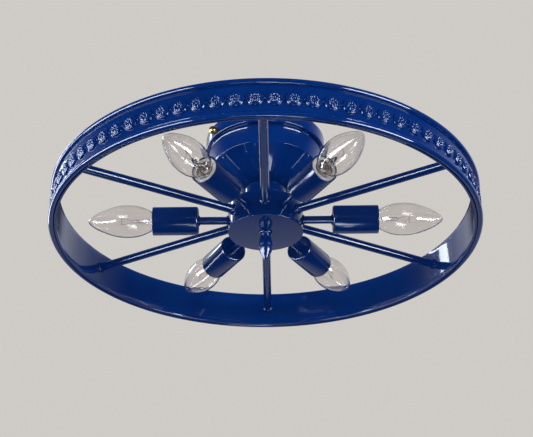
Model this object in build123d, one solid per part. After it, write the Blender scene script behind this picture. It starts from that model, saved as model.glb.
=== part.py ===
from build123d import *
from math import cos, hypot, pi, sin, sqrt
import os

# Wheel-shaped ceiling light with six candle lamps. Millimetres, +Z up.
# The origin is on the ceiling, in the middle of the canopy, so the light hangs below it.

# General clearances
SEAT_GAP = 0.3  # between neighbouring pieces that are not clamped
RUNNING_GAP = 0.05  # round a screw or rod in its hole

# Canopy pan against the ceiling
PAN_R = 65.0
PAN_DEPTH = 14.6
PAN_CORNER_R = 1.6
PAN_SHELF = 5.2  # width of the shelf turned in from the pan's wall
CANOPY_SHEET = 1.2

# Canopy bell: flange, groove, tapered drum and inverted cone in one spinning
FLANGE_LIP = 3.0  # how far the bell's flange lies on the pan's shelf
GROOVE_HEIGHT = 2.8  # between the pan's underside and the top of the drum
DRUM_STEP = 1.9  # how far the drum stands out from the groove
DRUM_TAPER = 4.4
DRUM_BOTTOM = -36.3
DRUM_EDGE = 0.6
CONE_OVERLAP = 0.8  # how far the cone's small end stands out past the neck
CONE_BOTTOM = -63.5

# Neck between canopy and hub
NECK_R = 22.6
NECK_LENGTH = 20.5

# Hub
HUB_R = 40.0
HUB_HEIGHT = 31.0
HUB_SHEET = 1.5
HUB_EDGE = 1.2

# Wheel rim
HOOP_R = 229.0  # outside of the trim's beads
BAND_HEIGHT = 41.0
BAND_THICK = 2.5
TRIM_HEIGHT = 43.0
BEAD_R = 3.0
TRIM_SHEET = 1.2
FIELD_STEP = 3.8  # from the beads' outside down to the flat field

# Rosettes pressed along the trim
ROSETTES = 79
ROSETTE_TURN = -0.6  # of the first rosette round the vertical
PETALS = 8
ROSETTE_R = 8.3
ROSETTE_SHOULDER_R = 6.4
ROSETTE_SHOULDER_H = 2.3
ROSETTE_CROWN_R = 3.4
ROSETTE_CROWN_H = 3.4
PEARL_R = 1.1
PEARL_H = 1.3

# Spokes
SPOKES = 6
SPOKE_R = 4.7
SPOKE_WALL = 1.0
SPOKE_RISE = 2.5  # above the middle of the rim
WELD_LEG = 1.4

# Lamp arms
LAMPS = 6
ARM_R = 4.2
ARM_WALL = 1.1
ARM_IN_HUB = 8.0  # length of the threaded end inside the hub
COLLAR_R = 5.5
COLLAR_THICK = 1.6
ARM_NUT_FLATS = 11.0
ARM_NUT_THICK = 3.0

# Socket cups
CUP_R = 15.2
CUP_START = 71.9  # distance of the cup's back from the hub's axis
CUP_LENGTH = 48.7
CUP_WALL = 1.0
CUP_EDGE = 2.2

# Porcelain lampholder for a 14 mm screw cap
HOLDER_R = 13.7
HOLDER_BACK_R = 11.8
HOLDER_BORE_R = 9.8
HOLDER_SETBACK = 0.7  # rim of the porcelain behind the cup's mouth
HOLDER_FLOOR = 11.0  # thickness of the closed back
HOLDER_STEP = 12.0
SHELL_THICK = 0.4
SHELL_LENGTH = 25.2

# Candle bulb, 35 mm across
CAP_R = 6.95
CAP_SKIRT_R = 8.4
CAP_LENGTH = 25.0
CAP_END_BEHIND_MOUTH = 1.8  # cap's skirt edge, inside the cup's mouth
CAP_SKIRT = 3.0
CAP_STEP = 2.0  # cone from the skirt down to the thread
CAP_END_R = 5.2
CAP_END_LENGTH = 5.0  # insulating end with the centre contact
CONTACT_R = 2.6
CEMENT = 0.1  # between glass and cap
BULB_R = 17.5
BULB_LENGTH = 71.1  # from the cap's edge to the tip
GLASS_WALL = 0.8
GLASS_TIP_WALL = 1.2
GLASS_FLARE = 1.0  # thickness of the disc that joins neck and stem, and its depth in the cap
STEM_R = 2.6
STEM_LENGTH = 24.0
STEM_TAPER = 1.2
STEM_PINCH = 4.0
WIRE_R = 0.35
WIRE_APART = 2.0
WIRE_LENGTH = 11.0
FILAMENT_LENGTH = 9.0

# Threaded rod down the middle, and what it clamps
ROD_R = 4.0
ROD_BORE_R = 2.6
ROD_ABOVE_NUT = 3.0
ROD_NUT_FLATS = 13.0
ROD_NUT_THICK = 5.0
ROD_IN_FINIAL = 9.0

# Finial
FINIAL_RING_R = 7.4
FINIAL_RING_HEIGHT = 3.2
FINIAL_RING_CROWN = 0.8
FINIAL_NECK_R = 5.6
FINIAL_NECK_HEIGHT = 2.8
FINIAL_BULGE_R = 7.6
FINIAL_DROP = 26.5  # from the neck to the tip

# Ceiling strap and the thumb screws that hold the pan to it
STRAP_TURN = 36.0  # direction of the strap round the vertical
STRAP_WIDTH = 22.0
STRAP_THICK = 2.5
STRAP_DROP = 16.0
CEILING_HOLE_R = 2.5
CEILING_HOLE_SPACING = 70.0
CABLE_HOLE_R = 5.0
SCREW_Z = -10.1
SCREW_R = 1.7
SCREW_SLACK = 0.4  # round the screw in the pan's hole
SCREW_PAST_STRAP = 2.5
SCREW_BALL_R = 4.6
SCREW_BALL_OUT = 4.2  # centre of the ball from the pan's wall

# Wiring
BLOCK_LENGTH = 18.0
BLOCK_WIDTH = 33.0
BLOCK_HEIGHT = 14.0
LEAD_R = 1.2
LEAD_OFFSET = 13.0
LEAD_HOLE_R = 3.0
LAMP_LEAD_R = 0.9
LAMP_LEAD_APART = 2.4
CONNECTOR_R = 17.0
CONNECTOR_HEIGHT = 12.0

# Levels and radii that follow
GROOVE_R = PAN_R - PAN_SHELF - SEAT_GAP
DRUM_TOP_R = GROOVE_R + DRUM_STEP
DRUM_LOW_R = DRUM_TOP_R - DRUM_TAPER
CONE_END_R = NECK_R + CONE_OVERLAP
HUB_TOP = CONE_BOTTOM - NECK_LENGTH
HUB_BOTTOM = HUB_TOP - HUB_HEIGHT
WHEEL_Z = HUB_TOP - HUB_HEIGHT / 2
SPOKE_Z = WHEEL_Z + SPOKE_RISE
BEAD_CENTRE_R = HOOP_R - BEAD_R
BAND_OUTER_R = HOOP_R - 2 * BEAD_R - SEAT_GAP
BAND_INNER_R = BAND_OUTER_R - BAND_THICK
FIELD_R = HOOP_R - FIELD_STEP
CUP_MOUTH = CUP_START + CUP_LENGTH
ARM_END = CUP_START + CUP_WALL + SEAT_GAP + ARM_NUT_THICK + SEAT_GAP
HOLDER_BACK = ARM_END + 0.2
HOLDER_MOUTH = CUP_MOUTH - HOLDER_SETBACK
CAP_EDGE = CUP_MOUTH - CAP_END_BEHIND_MOUTH
SHELL_INNER_R = CAP_R + SEAT_GAP
GLASS_BACK = CAP_EDGE - 2 * GLASS_FLARE
STRAP_END = GROOVE_R - CANOPY_SHEET - SEAT_GAP
SCREW_REACH = PAN_R + SCREW_BALL_OUT
CONNECTOR_TOP = WHEEL_Z + CONNECTOR_HEIGHT / 2


def save(name, shape):
    shape.label = name
    export_step(shape, f"parts/{name}.step")


def turned(points):
    """Solid of revolution about Z from a closed outline of (radius, height) points."""
    return revolve(Plane.XZ * make_face(Polyline(*points, close=True)), Axis.Z)


def sheet_outline(path, thickness):
    """Closed outline of a bent sheet: the path and its copy moved to the left with mitred bends."""
    normals = []
    for (r0, z0), (r1, z1) in zip(path, path[1:]):
        length = hypot(r1 - r0, z1 - z0)
        normals.append((-(z1 - z0) / length, (r1 - r0) / length))
    moved = []
    for i, (r, z) in enumerate(path):
        a = normals[max(i - 1, 0)]
        b = normals[min(i, len(normals) - 1)]
        share = thickness / (1 + a[0] * b[0] + a[1] * b[1])
        moved.append((r + (a[0] + b[0]) * share, z + (a[1] + b[1]) * share))
    return path + moved[::-1]


def rounded(corner, before, after, radius, steps=3):
    """Points of a small arc that replaces a right-angled corner of a path."""
    points = []
    for i in range(steps + 1):
        t = pi / 2 * i / steps
        u, v = radius * (1 - sin(t)), radius * (1 - cos(t))
        points.append(
            (
                corner[0] + before[0] * u + after[0] * v,
                corner[1] + before[1] * u + after[1] * v,
            )
        )
    return points


def rod(radius, start, end, bore=0.0):
    """Round bar or tube along X between two distances from the axis."""
    bar = Pos(start, 0, 0) * Rot(0, 90, 0) * extrude(Circle(radius), end - start)
    if bore:
        hole = Pos(start - 1, 0, 0) * Rot(0, 90, 0) * extrude(Circle(bore), end - start + 2)
        bar -= hole
    return bar


def along_x(shape):
    """Turns a solid made about Z so that its height runs along X."""
    return Rot(0, 90, 0) * shape


def out_at(angle, shape, height=None):
    """Places a solid made along X at an angle round the vertical."""
    return Pos(0, 0, WHEEL_Z if height is None else height) * Rot(0, 0, angle) * shape


def upright_cylinder(radius, low, high):
    return Pos(0, 0, low) * extrude(Circle(radius), high - low)


def hex_nut(flats, thick, bore):
    return extrude(RegularPolygon(flats / sqrt(3), 6) - Circle(bore), thick)


# Wheel rim
def hoop_band():
    low, high = WHEEL_Z - BAND_HEIGHT / 2, WHEEL_Z + BAND_HEIGHT / 2
    edge = 0.5
    outline = [
        (BAND_INNER_R + edge, low),
        (BAND_OUTER_R - edge, low),
        (BAND_OUTER_R, low + edge),
        (BAND_OUTER_R, high - edge),
        (BAND_OUTER_R - edge, high),
        (BAND_INNER_R + edge, high),
        (BAND_INNER_R, high - edge),
        (BAND_INNER_R, low + edge),
    ]
    return turned(outline)


def hoop_trim():
    bead_z = TRIM_HEIGHT / 2 - BEAD_R
    section = Pos(FIELD_R - TRIM_SHEET / 2, 0) * Rectangle(TRIM_SHEET, 2 * bead_z)
    for side in (1, -1):
        section += Pos(BEAD_CENTRE_R, side * bead_z) * Circle(BEAD_R)
    return Pos(0, 0, WHEEL_Z) * revolve(Plane.XZ * section, Axis.Z)


def facet_solid(rings):
    """Closed solid from rings of points with equal counts, each ring half a step on from the last."""
    count = len(rings[0])
    faces = [Face(Wire.make_polygon(rings[0])), Face(Wire.make_polygon(rings[-1]))]
    for level, (low, high) in enumerate(zip(rings, rings[1:])):
        shift = level % 2
        for i in range(count):
            j = (i + 1) % count
            if shift == 0:
                faces.append(Face(Wire.make_polygon([low[i], low[j], high[i]])))
                faces.append(Face(Wire.make_polygon([low[j], high[j], high[i]])))
            else:
                faces.append(Face(Wire.make_polygon([low[i], low[j], high[j]])))
                faces.append(Face(Wire.make_polygon([low[i], high[j], high[i]])))
    return Solid(Shell(faces))


def ring_points(radius, out, count, phase):
    """Points of a ring round the X axis, at a distance out along it."""
    turn = 2 * pi / count
    return [
        (out, radius * cos((i + phase) * turn), radius * sin((i + phase) * turn))
        for i in range(count)
    ]


def rosette():
    """Domed flower with a facet for each petal, its back on the field of the trim."""
    return facet_solid(
        [
            ring_points(ROSETTE_R, FIELD_R, PETALS, 0.5),
            ring_points(ROSETTE_SHOULDER_R, FIELD_R + ROSETTE_SHOULDER_H, PETALS, 1.0),
            ring_points(ROSETTE_CROWN_R, FIELD_R + ROSETTE_CROWN_H, PETALS, 0.5),
        ]
    )


def pearl():
    """Small bead between two rosettes."""
    return facet_solid(
        [
            ring_points(PEARL_R, FIELD_R, 6, 0.5),
            ring_points(PEARL_R * 0.6, FIELD_R + PEARL_H, 6, 1.0),
        ]
    )


def hoop_rosettes():
    pitch = 360 / ROSETTES
    flower, bead = rosette(), pearl()
    pieces = []
    for i in range(ROSETTES):
        pieces.append(out_at(i * pitch + ROSETTE_TURN, flower))
        pieces.append(out_at((i + 0.5) * pitch + ROSETTE_TURN, bead))
    return Compound(children=pieces)


# Spokes, welded to the hub's wall and to the inside of the band
def spoke():
    outer_end = BAND_INNER_R - 0.1
    hub_weld = HUB_R + WELD_LEG + 0.6
    outline = [
        (0, HUB_R - 2),
        (SPOKE_R + WELD_LEG, HUB_R - 2),
        (SPOKE_R + WELD_LEG, HUB_R),
        (SPOKE_R, hub_weld),
        (SPOKE_R, outer_end - WELD_LEG),
        (SPOKE_R + WELD_LEG, outer_end - 0.4),
        (SPOKE_R + WELD_LEG, outer_end),
        (0, outer_end),
    ]
    tube = along_x(turned(outline))
    tube -= rod(SPOKE_R - SPOKE_WALL, HUB_R - 3, outer_end + 1)
    return tube - upright_cylinder(HUB_R + RUNNING_GAP, -HUB_HEIGHT, HUB_HEIGHT)


# Hub
def hub_shell():
    wall_bottom = HUB_BOTTOM + HUB_SHEET
    corner = rounded((HUB_R, HUB_TOP), (-1, 0), (0, -1), HUB_EDGE)
    path = [(HUB_R, wall_bottom)] + corner[::-1] + [(ROD_R + RUNNING_GAP, HUB_TOP)]
    shell = turned(sheet_outline(path, HUB_SHEET))
    for i in range(LAMPS):
        shell -= out_at(i * 360 / LAMPS, rod(ARM_R + RUNNING_GAP, HUB_R - 6, HUB_R + 6))
    return shell - lead_holes(HUB_TOP)


def hub_cover():
    lip_r = HUB_R - HUB_SHEET - SEAT_GAP
    top = HUB_BOTTOM + HUB_SHEET
    outline = [
        (ROD_R + RUNNING_GAP, HUB_BOTTOM),
        (HUB_R - 0.4, HUB_BOTTOM),
        (HUB_R, HUB_BOTTOM + 0.4),
        (HUB_R, top),
        (lip_r, top),
        (lip_r, top + 3.0),
        (lip_r - 1.0, top + 3.0),
        (lip_r - 1.0, top),
        (ROD_R + RUNNING_GAP, top),
    ]
    return turned(outline)


def lead_holes(level):
    """Two holes through a horizontal plate for the leads from the canopy."""
    holes = []
    for side in (90, 270):
        spot = Rot(0, 0, STRAP_TURN + side) * Pos(LEAD_OFFSET, 0, 0)
        holes.append(spot * upright_cylinder(LEAD_HOLE_R, level - 4, level + 4))
    return holes


# Canopy
def canopy_pan():
    corner = rounded((PAN_R, -PAN_DEPTH), (0, 1), (-1, 0), PAN_CORNER_R)
    path = [(PAN_R, 0)] + corner + [(PAN_R - PAN_SHELF, -PAN_DEPTH)]
    pan = turned(sheet_outline(path, -CANOPY_SHEET))
    for side in (0, 180):
        hole = rod(SCREW_R + SCREW_SLACK, STRAP_END, SCREW_REACH)
        pan -= out_at(STRAP_TURN + side, hole, SCREW_Z)
    return pan


def canopy_bell():
    flange_under = -PAN_DEPTH + CANOPY_SHEET
    drum_top = -PAN_DEPTH - GROOVE_HEIGHT
    path = [
        (PAN_R - PAN_SHELF + FLANGE_LIP, flange_under),
        (GROOVE_R, flange_under),
        (GROOVE_R, drum_top),
        (DRUM_TOP_R, drum_top),
        (DRUM_LOW_R, DRUM_BOTTOM + DRUM_EDGE),
        (DRUM_LOW_R - DRUM_EDGE, DRUM_BOTTOM - DRUM_EDGE),
        (CONE_END_R, CONE_BOTTOM),
        (ROD_R + RUNNING_GAP, CONE_BOTTOM),
    ]
    bell = turned(sheet_outline(path, -CANOPY_SHEET))
    return bell - lead_holes(CONE_BOTTOM)


def neck_tube():
    outline = [
        (NECK_R, HUB_TOP),
        (NECK_R, CONE_BOTTOM),
        (NECK_R - CANOPY_SHEET, CONE_BOTTOM),
        (NECK_R - CANOPY_SHEET, HUB_TOP),
    ]
    return turned(outline)


def crossbar():
    """Flat strap with two ceiling screw holes and both ends turned down and tapped."""
    half = STRAP_END
    path = Polyline(
        (-half, -STRAP_DROP),
        (-half, 0),
        (half, 0),
        (half, -STRAP_DROP),
        (half - STRAP_THICK, -STRAP_DROP),
        (half - STRAP_THICK, -STRAP_THICK),
        (-half + STRAP_THICK, -STRAP_THICK),
        (-half + STRAP_THICK, -STRAP_DROP),
        close=True,
    )
    strap = extrude(Plane.XZ * make_face(path), STRAP_WIDTH / 2, both=True)
    strap = (strap & upright_cylinder(STRAP_END, -STRAP_DROP - 1, 1)).solid()
    for side in (-1, 1):
        screw_hole = upright_cylinder(CEILING_HOLE_R, -STRAP_THICK - 1, 1)
        strap -= Pos(side * CEILING_HOLE_SPACING / 2, 0, 0) * screw_hole
    strap -= upright_cylinder(CABLE_HOLE_R, -STRAP_THICK - 1, 1)
    strap -= Pos(0, 0, SCREW_Z) * rod(SCREW_R + RUNNING_GAP, -PAN_R, PAN_R)
    return Rot(0, 0, STRAP_TURN) * strap


def terminal_block():
    top = -STRAP_THICK
    block = Pos(0, 0, top - BLOCK_HEIGHT / 2) * Box(BLOCK_LENGTH, BLOCK_WIDTH, BLOCK_HEIGHT)
    block = fillet(block.edges().filter_by(Axis.Z), 2.0)
    for side in (-1, 1):
        spot = Pos(0, side * LEAD_OFFSET, top - BLOCK_HEIGHT / 2)
        block -= spot * rod(2.2, -BLOCK_LENGTH, -1)
        block -= Pos(BLOCK_LENGTH / 2 - 4, side * (LEAD_OFFSET - 6), 0) * upright_cylinder(
            2.0, top - BLOCK_HEIGHT - 1, top - BLOCK_HEIGHT + 6
        )
    return Rot(0, 0, STRAP_TURN) * block


def canopy_screw():
    """Thumb screw along X: threaded shank and a ball with a flat seat against the pan's wall."""
    start = STRAP_END - STRAP_THICK - SCREW_PAST_STRAP
    seat = PAN_R + 0.1
    seat_r = sqrt(SCREW_BALL_R**2 - (SCREW_REACH - seat) ** 2)
    end = SCREW_REACH + SCREW_BALL_R
    shank = Polyline(
        (0, end),
        (0, start),
        (SCREW_R - 0.6, start),
        (SCREW_R, start + 1.0),
        (SCREW_R, seat),
        (seat_r, seat),
    )
    ball = ThreePointArc((seat_r, seat), (SCREW_BALL_R, SCREW_REACH), (0, end))
    return along_x(revolve(Plane.XZ * make_face(Wire([*shank.edges(), ball])), Axis.Z))


# Centre rod, nuts and finial
def centre_rod():
    top = CONE_BOTTOM + CANOPY_SHEET + ROD_NUT_THICK + ROD_ABOVE_NUT
    low = HUB_BOTTOM - ROD_IN_FINIAL
    return upright_cylinder(ROD_R, low, top) - upright_cylinder(ROD_BORE_R, low - 1, top + 1)


def lock_nuts():
    """Nuts above the bell's floor and under the hub's top, and two on each lamp arm."""
    rod_nut = hex_nut(ROD_NUT_FLATS, ROD_NUT_THICK, ROD_R + RUNNING_GAP)
    arm_nut = along_x(hex_nut(ARM_NUT_FLATS, ARM_NUT_THICK, ARM_R + RUNNING_GAP))
    nuts = [
        Pos(0, 0, CONE_BOTTOM + CANOPY_SHEET) * rod_nut,
        Pos(0, 0, HUB_TOP - HUB_SHEET - ROD_NUT_THICK) * rod_nut,
    ]
    corner = ARM_NUT_FLATS / sqrt(3)
    in_hub = sqrt((HUB_R - HUB_SHEET) ** 2 - corner**2) - ARM_NUT_THICK - 0.05
    in_cup = CUP_START + CUP_WALL
    for i in range(LAMPS):
        for start in (in_hub, in_cup):
            nuts.append(out_at(i * 360 / LAMPS, Pos(start, 0, 0) * arm_nut))
    return Compound(children=nuts)


# Radius and depth below the neck, as shares of the drop's largest radius and its length
FINIAL_PROFILE = [
    (0.88, 0.15),
    (0.985, 0.3),
    (1.0, 0.43),
    (0.93, 0.54),
    (0.74, 0.68),
    (0.45, 0.83),
    (0.21, 0.95),
]


def finial():
    """Turned drop with a ring at its top, bored for the rod."""
    top = HUB_BOTTOM - 0.1
    ring_low = top - FINIAL_RING_HEIGHT
    neck_low = ring_low - FINIAL_NECK_HEIGHT
    ring_side = FINIAL_RING_R - FINIAL_RING_CROWN
    bore = ROD_R + RUNNING_GAP
    bore_end = top - ROD_IN_FINIAL - 1.0
    drop = [(FINIAL_BULGE_R * r, neck_low - FINIAL_DROP * s) for r, s in FINIAL_PROFILE]
    tip = (0, neck_low - FINIAL_DROP)
    edges = [
        ThreePointArc((ring_side, top), (FINIAL_RING_R, (top + ring_low) / 2), (ring_side, ring_low)),
        Line((ring_side, ring_low), (FINIAL_NECK_R, ring_low - FINIAL_RING_CROWN)),
        Line((FINIAL_NECK_R, ring_low - FINIAL_RING_CROWN), (FINIAL_NECK_R, neck_low)),
        Spline((FINIAL_NECK_R, neck_low), *drop, tip, tangents=[(0.3, -1), (-1, 0)]),
        *Polyline(tip, (0, bore_end), (bore, bore_end), (bore, top), (ring_side, top)).edges(),
    ]
    return revolve(Plane.XZ * make_face(Wire(edges)), Axis.Z)


# Lamp arms
def arm_tube():
    """Tube with a turned shoulder against the hub's wall and one against the cup's back."""
    tube = rod(ARM_R, HUB_R - ARM_IN_HUB, ARM_END)
    tube += rod(COLLAR_R, HUB_R + RUNNING_GAP, HUB_R + COLLAR_THICK)
    tube += rod(COLLAR_R, CUP_START - COLLAR_THICK, CUP_START)
    return tube - rod(ARM_R - ARM_WALL, HUB_R - ARM_IN_HUB - 1, ARM_END + 1)


def socket_cup():
    corner = rounded((CUP_R, CUP_START), (-1, 0), (0, 1), CUP_EDGE)
    path = [(ARM_R + RUNNING_GAP, CUP_START)] + corner + [(CUP_R, CUP_MOUTH)]
    return along_x(turned(sheet_outline(path, CUP_WALL)))


def lampholder():
    """Porcelain body, open at the front, stepped at the back, with two channels for the leads."""
    floor = HOLDER_BACK + HOLDER_FLOOR
    outline = [
        (0, HOLDER_BACK),
        (HOLDER_BACK_R - 1.0, HOLDER_BACK),
        (HOLDER_BACK_R, HOLDER_BACK + 1.0),
        (HOLDER_BACK_R, HOLDER_BACK + HOLDER_STEP),
        (HOLDER_R, HOLDER_BACK + HOLDER_STEP + 2.0),
        (HOLDER_R, HOLDER_MOUTH - 1.0),
        (HOLDER_R - 1.0, HOLDER_MOUTH),
        (HOLDER_BORE_R + 0.9, HOLDER_MOUTH),
        (HOLDER_BORE_R, HOLDER_MOUTH - 1.4),
        (HOLDER_BORE_R, floor),
        (0, floor),
    ]
    return along_x(turned(outline))


def screw_shells():
    """Threaded metal shells seated on the floors of the lampholders, each with its centre contact."""
    floor = HOLDER_BACK + HOLDER_FLOOR
    outer_r = SHELL_INNER_R + SHELL_THICK
    outline = [
        (SHELL_INNER_R, floor + 0.1 + SHELL_THICK),
        (SHELL_INNER_R, floor + SHELL_LENGTH),
        (outer_r, floor + SHELL_LENGTH),
        (outer_r, floor + 0.1 + SHELL_THICK),
        (HOLDER_BORE_R - SEAT_GAP, floor + 0.1 + SHELL_THICK),
        (HOLDER_BORE_R - SEAT_GAP, floor + 0.1),
        (5.0, floor + 0.1),
        (5.0, floor + 0.1 + SHELL_THICK),
    ]
    shell = along_x(turned(outline))
    tongue_end = CAP_EDGE - CAP_LENGTH - 0.3
    contact = rod(2.6, floor + 0.1, tongue_end)
    pieces = []
    for i in range(LAMPS):
        pieces.append(out_at(i * 360 / LAMPS, shell))
        pieces.append(out_at(i * 360 / LAMPS, contact))
    return Compound(children=pieces)


# Bulb
# Distance from the cap's edge and radius of the glass, as shares of its length and largest radius
GLASS_PROFILE = [
    (0.0, 0.435),
    (0.03, 0.575),
    (0.093, 0.72),
    (0.183, 0.872),
    (0.275, 0.965),
    (0.4, 1.0),
    (0.52, 0.97),
    (0.633, 0.873),
    (0.765, 0.685),
    (0.878, 0.475),
    (0.951, 0.27),
]


def bulb_glass():
    """Candle-shaped envelope with the pressed glass stem inside its neck."""
    outer = [(BULB_R * r, CAP_EDGE + BULB_LENGTH * s) for s, r in GLASS_PROFILE]
    inner = [(r - GLASS_WALL, x + GLASS_WALL / 4) for r, x in outer]
    neck_r, bore_r = outer[0][0], inner[0][0]
    tip = (0, CAP_EDGE + BULB_LENGTH)
    inner_tip = (0, tip[1] - GLASS_TIP_WALL)
    flare_front = GLASS_BACK + GLASS_FLARE
    flare = Polyline(
        inner[0],
        (bore_r, flare_front),
        (STEM_R, flare_front),
        (STEM_R, GLASS_BACK),
        (neck_r, GLASS_BACK),
        outer[0],
    )
    envelope = [
        Spline(*outer, tip, tangents=[(0.6, 1), (-1, 0)]),
        Line(tip, inner_tip),
        Spline(*inner, inner_tip, tangents=[(0.6, 1), (-1, 0)]),
        *flare.edges(),
    ]
    stem_end = CAP_EDGE + STEM_LENGTH
    stem = [
        (0, GLASS_BACK),
        (STEM_R, GLASS_BACK),
        (STEM_R, stem_end - STEM_PINCH),
        (STEM_R - STEM_TAPER, stem_end),
        (0, stem_end),
    ]
    return along_x(revolve(Plane.XZ * make_face(Wire(envelope)), Axis.Z) + turned(stem))


def bulb_cap():
    """Screw cap with its skirt, insulating end and centre contact."""
    end = CAP_EDGE - CAP_LENGTH
    glass_r = BULB_R * GLASS_PROFILE[0][1] + CEMENT
    outline = [
        (0, end),
        (CONTACT_R - 0.6, end),
        (CONTACT_R, end + 0.8),
        (CONTACT_R, end + 1.6),
        (CAP_END_R, end + 3.4),
        (CAP_R, end + CAP_END_LENGTH),
        (CAP_R, CAP_EDGE - CAP_SKIRT - CAP_STEP),
        (CAP_SKIRT_R, CAP_EDGE - CAP_SKIRT),
        (CAP_SKIRT_R, CAP_EDGE),
        (glass_r, CAP_EDGE),
        (glass_r, GLASS_BACK - CEMENT),
        (0, GLASS_BACK - CEMENT),
    ]
    return along_x(turned(outline))


def wire_between(start, end, radius):
    """Straight round wire between two points."""
    vector = Vector(*end) - Vector(*start)
    plane = Plane(origin=start, z_dir=vector)
    return extrude(plane * Circle(radius), vector.length)


def filament():
    """Two lead wires from the stem and the filament between their ends."""
    base = CAP_EDGE + STEM_LENGTH + 0.1
    top = base + WIRE_LENGTH
    half = FILAMENT_LENGTH / 2
    left = wire_between((base, -WIRE_APART / 2, 0), (top, -half, 0), WIRE_R)
    right = wire_between((base, WIRE_APART / 2, 0), (top, half, 0), WIRE_R)
    coil = wire_between((top, -half, 0), (top, half, 0), WIRE_R * 1.6)
    return left + right + coil


# Wiring
def hub_connector():
    bottom = CONNECTOR_TOP - CONNECTOR_HEIGHT
    block = upright_cylinder(CONNECTOR_R, bottom, CONNECTOR_TOP)
    return block - upright_cylinder(ROD_R + SEAT_GAP, bottom - 1, CONNECTOR_TOP + 1)


def wiring_leads():
    """Two leads from the terminal block down to the connector, and a pair through every arm."""
    block_bottom = -STRAP_THICK - BLOCK_HEIGHT
    pieces = []
    for side in (90, 270):
        spot = Rot(0, 0, STRAP_TURN + side) * Pos(LEAD_OFFSET, 0, 0)
        pieces.append(spot * upright_cylinder(LEAD_R, CONNECTOR_TOP, block_bottom))
    for i in range(LAMPS):
        for side in (-1, 1):
            lead = Pos(0, side * LAMP_LEAD_APART / 2, 0) * rod(LAMP_LEAD_R, CONNECTOR_R, HOLDER_BACK)
            pieces.append(out_at(i * 360 / LAMPS, lead))
    return Compound(children=pieces)


SINGLE_PIECES = {
    "hoop_band": hoop_band,
    "hoop_trim": hoop_trim,
    "hoop_rosettes": hoop_rosettes,
    "hub_shell": hub_shell,
    "hub_cover": hub_cover,
    "canopy_pan": canopy_pan,
    "canopy_bell": canopy_bell,
    "neck_tube": neck_tube,
    "crossbar": crossbar,
    "terminal_block": terminal_block,
    "centre_rod": centre_rod,
    "lock_nuts": lock_nuts,
    "finial": finial,
    "screw_shells": screw_shells,
    "hub_connector": hub_connector,
    "wiring_leads": wiring_leads,
}

LAMP_PIECES = {
    "arm_tube": arm_tube,
    "socket_cup": socket_cup,
    "lampholder": lampholder,
    "bulb_glass": bulb_glass,
    "bulb_cap": bulb_cap,
    "filament": filament,
}

os.makedirs("parts", exist_ok=True)

for name, make in SINGLE_PIECES.items():
    save(name, make())

for name, make in LAMP_PIECES.items():
    piece = make()
    for i in range(LAMPS):
        save(f"{name}_{i + 1}", out_at(i * 360 / LAMPS, piece))

one_spoke = spoke()
for i in range(SPOKES):
    save(f"spoke_{i + 1}", out_at((i + 0.5) * 360 / SPOKES, one_spoke, SPOKE_Z))

one_screw = canopy_screw()
for i, side in enumerate((180, 0)):
    save(f"canopy_screw_{i + 1}", out_at(STRAP_TURN + side, one_screw, SCREW_Z))
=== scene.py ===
import math

import bmesh
import bpy
import numpy as np
from mathutils import Matrix, Vector


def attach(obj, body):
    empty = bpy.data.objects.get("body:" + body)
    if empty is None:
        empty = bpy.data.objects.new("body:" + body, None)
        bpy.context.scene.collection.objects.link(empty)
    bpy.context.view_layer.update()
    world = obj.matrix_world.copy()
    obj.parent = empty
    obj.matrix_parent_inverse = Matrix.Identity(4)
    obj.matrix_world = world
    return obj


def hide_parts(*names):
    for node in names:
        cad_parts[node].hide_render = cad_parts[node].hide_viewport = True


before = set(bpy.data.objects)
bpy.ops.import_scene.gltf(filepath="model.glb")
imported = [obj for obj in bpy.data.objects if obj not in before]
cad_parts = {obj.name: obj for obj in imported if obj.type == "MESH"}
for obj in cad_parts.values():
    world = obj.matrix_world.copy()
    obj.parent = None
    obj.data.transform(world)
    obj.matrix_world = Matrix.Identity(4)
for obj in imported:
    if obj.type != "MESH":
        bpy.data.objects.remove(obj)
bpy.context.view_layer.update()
rng = np.random.default_rng(7)

# Lengths are in millimetres, as in the solids, and the ceiling is at height 0. MM turns them into metres.
MM = 0.001

# Sizes and places that several pieces share
LAMPS = 6
SPOKES = 6
LAMP_STEP = 360 / LAMPS
SPOKE_STEP = 360 / SPOKES
FIRST_SPOKE = 30
HUB_R = 40.0
HUB_TOP = -84.0
HUB_BOTTOM = -115.0
HUB_SHEET = 1.5
NECK_R = 22.6
NECK_TOP = -63.52
WHEEL_Z = -99.5
SPOKE_Z = -97.0
FIELD_R = 225.2
TUBE_R = 4.2
TUBE_BORE_R = 3.1
CAP_EDGE = 118.8
CAP_PITCH = 2.82

# Points round a circle and the distance within which points are welded
RIM_SEGMENTS = 480
ROUND_SEGMENTS = 192
WELD_METRES = 1e-7


# Mesh helpers. A mesh is (vertices in metres, faces), and a profile is a list of (radius, height).
def lathe(profile, segments=96, closed=False, radius_at=None):
    """Surface of revolution about Z. radius_at, where given, changes each (radius, height, angle)."""
    verts, rings = [], []
    for r, h in profile:
        if r < 1e-6:
            rings.append([len(verts)])
            verts.append((0.0, 0.0, h * MM))
            continue
        ring = []
        for i in range(segments):
            a = 2 * math.pi * i / segments
            rr, hh = (r, h) if radius_at is None else radius_at(r, h, a)
            ring.append(len(verts))
            verts.append((rr * MM * math.cos(a), rr * MM * math.sin(a), hh * MM))
        rings.append(ring)
    pairs = list(zip(rings, rings[1:]))
    if closed:
        pairs.append((rings[-1], rings[0]))
    faces = []
    for a, b in pairs:
        if len(a) == 1 and len(b) == 1:
            continue
        for i in range(segments):
            j = (i + 1) % segments
            if len(a) == 1:
                faces.append((a[0], b[j], b[i]))
            elif len(b) == 1:
                faces.append((a[i], a[j], b[0]))
            else:
                faces.append((a[i], a[j], b[j], b[i]))
    return np.array(verts), faces


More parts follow.
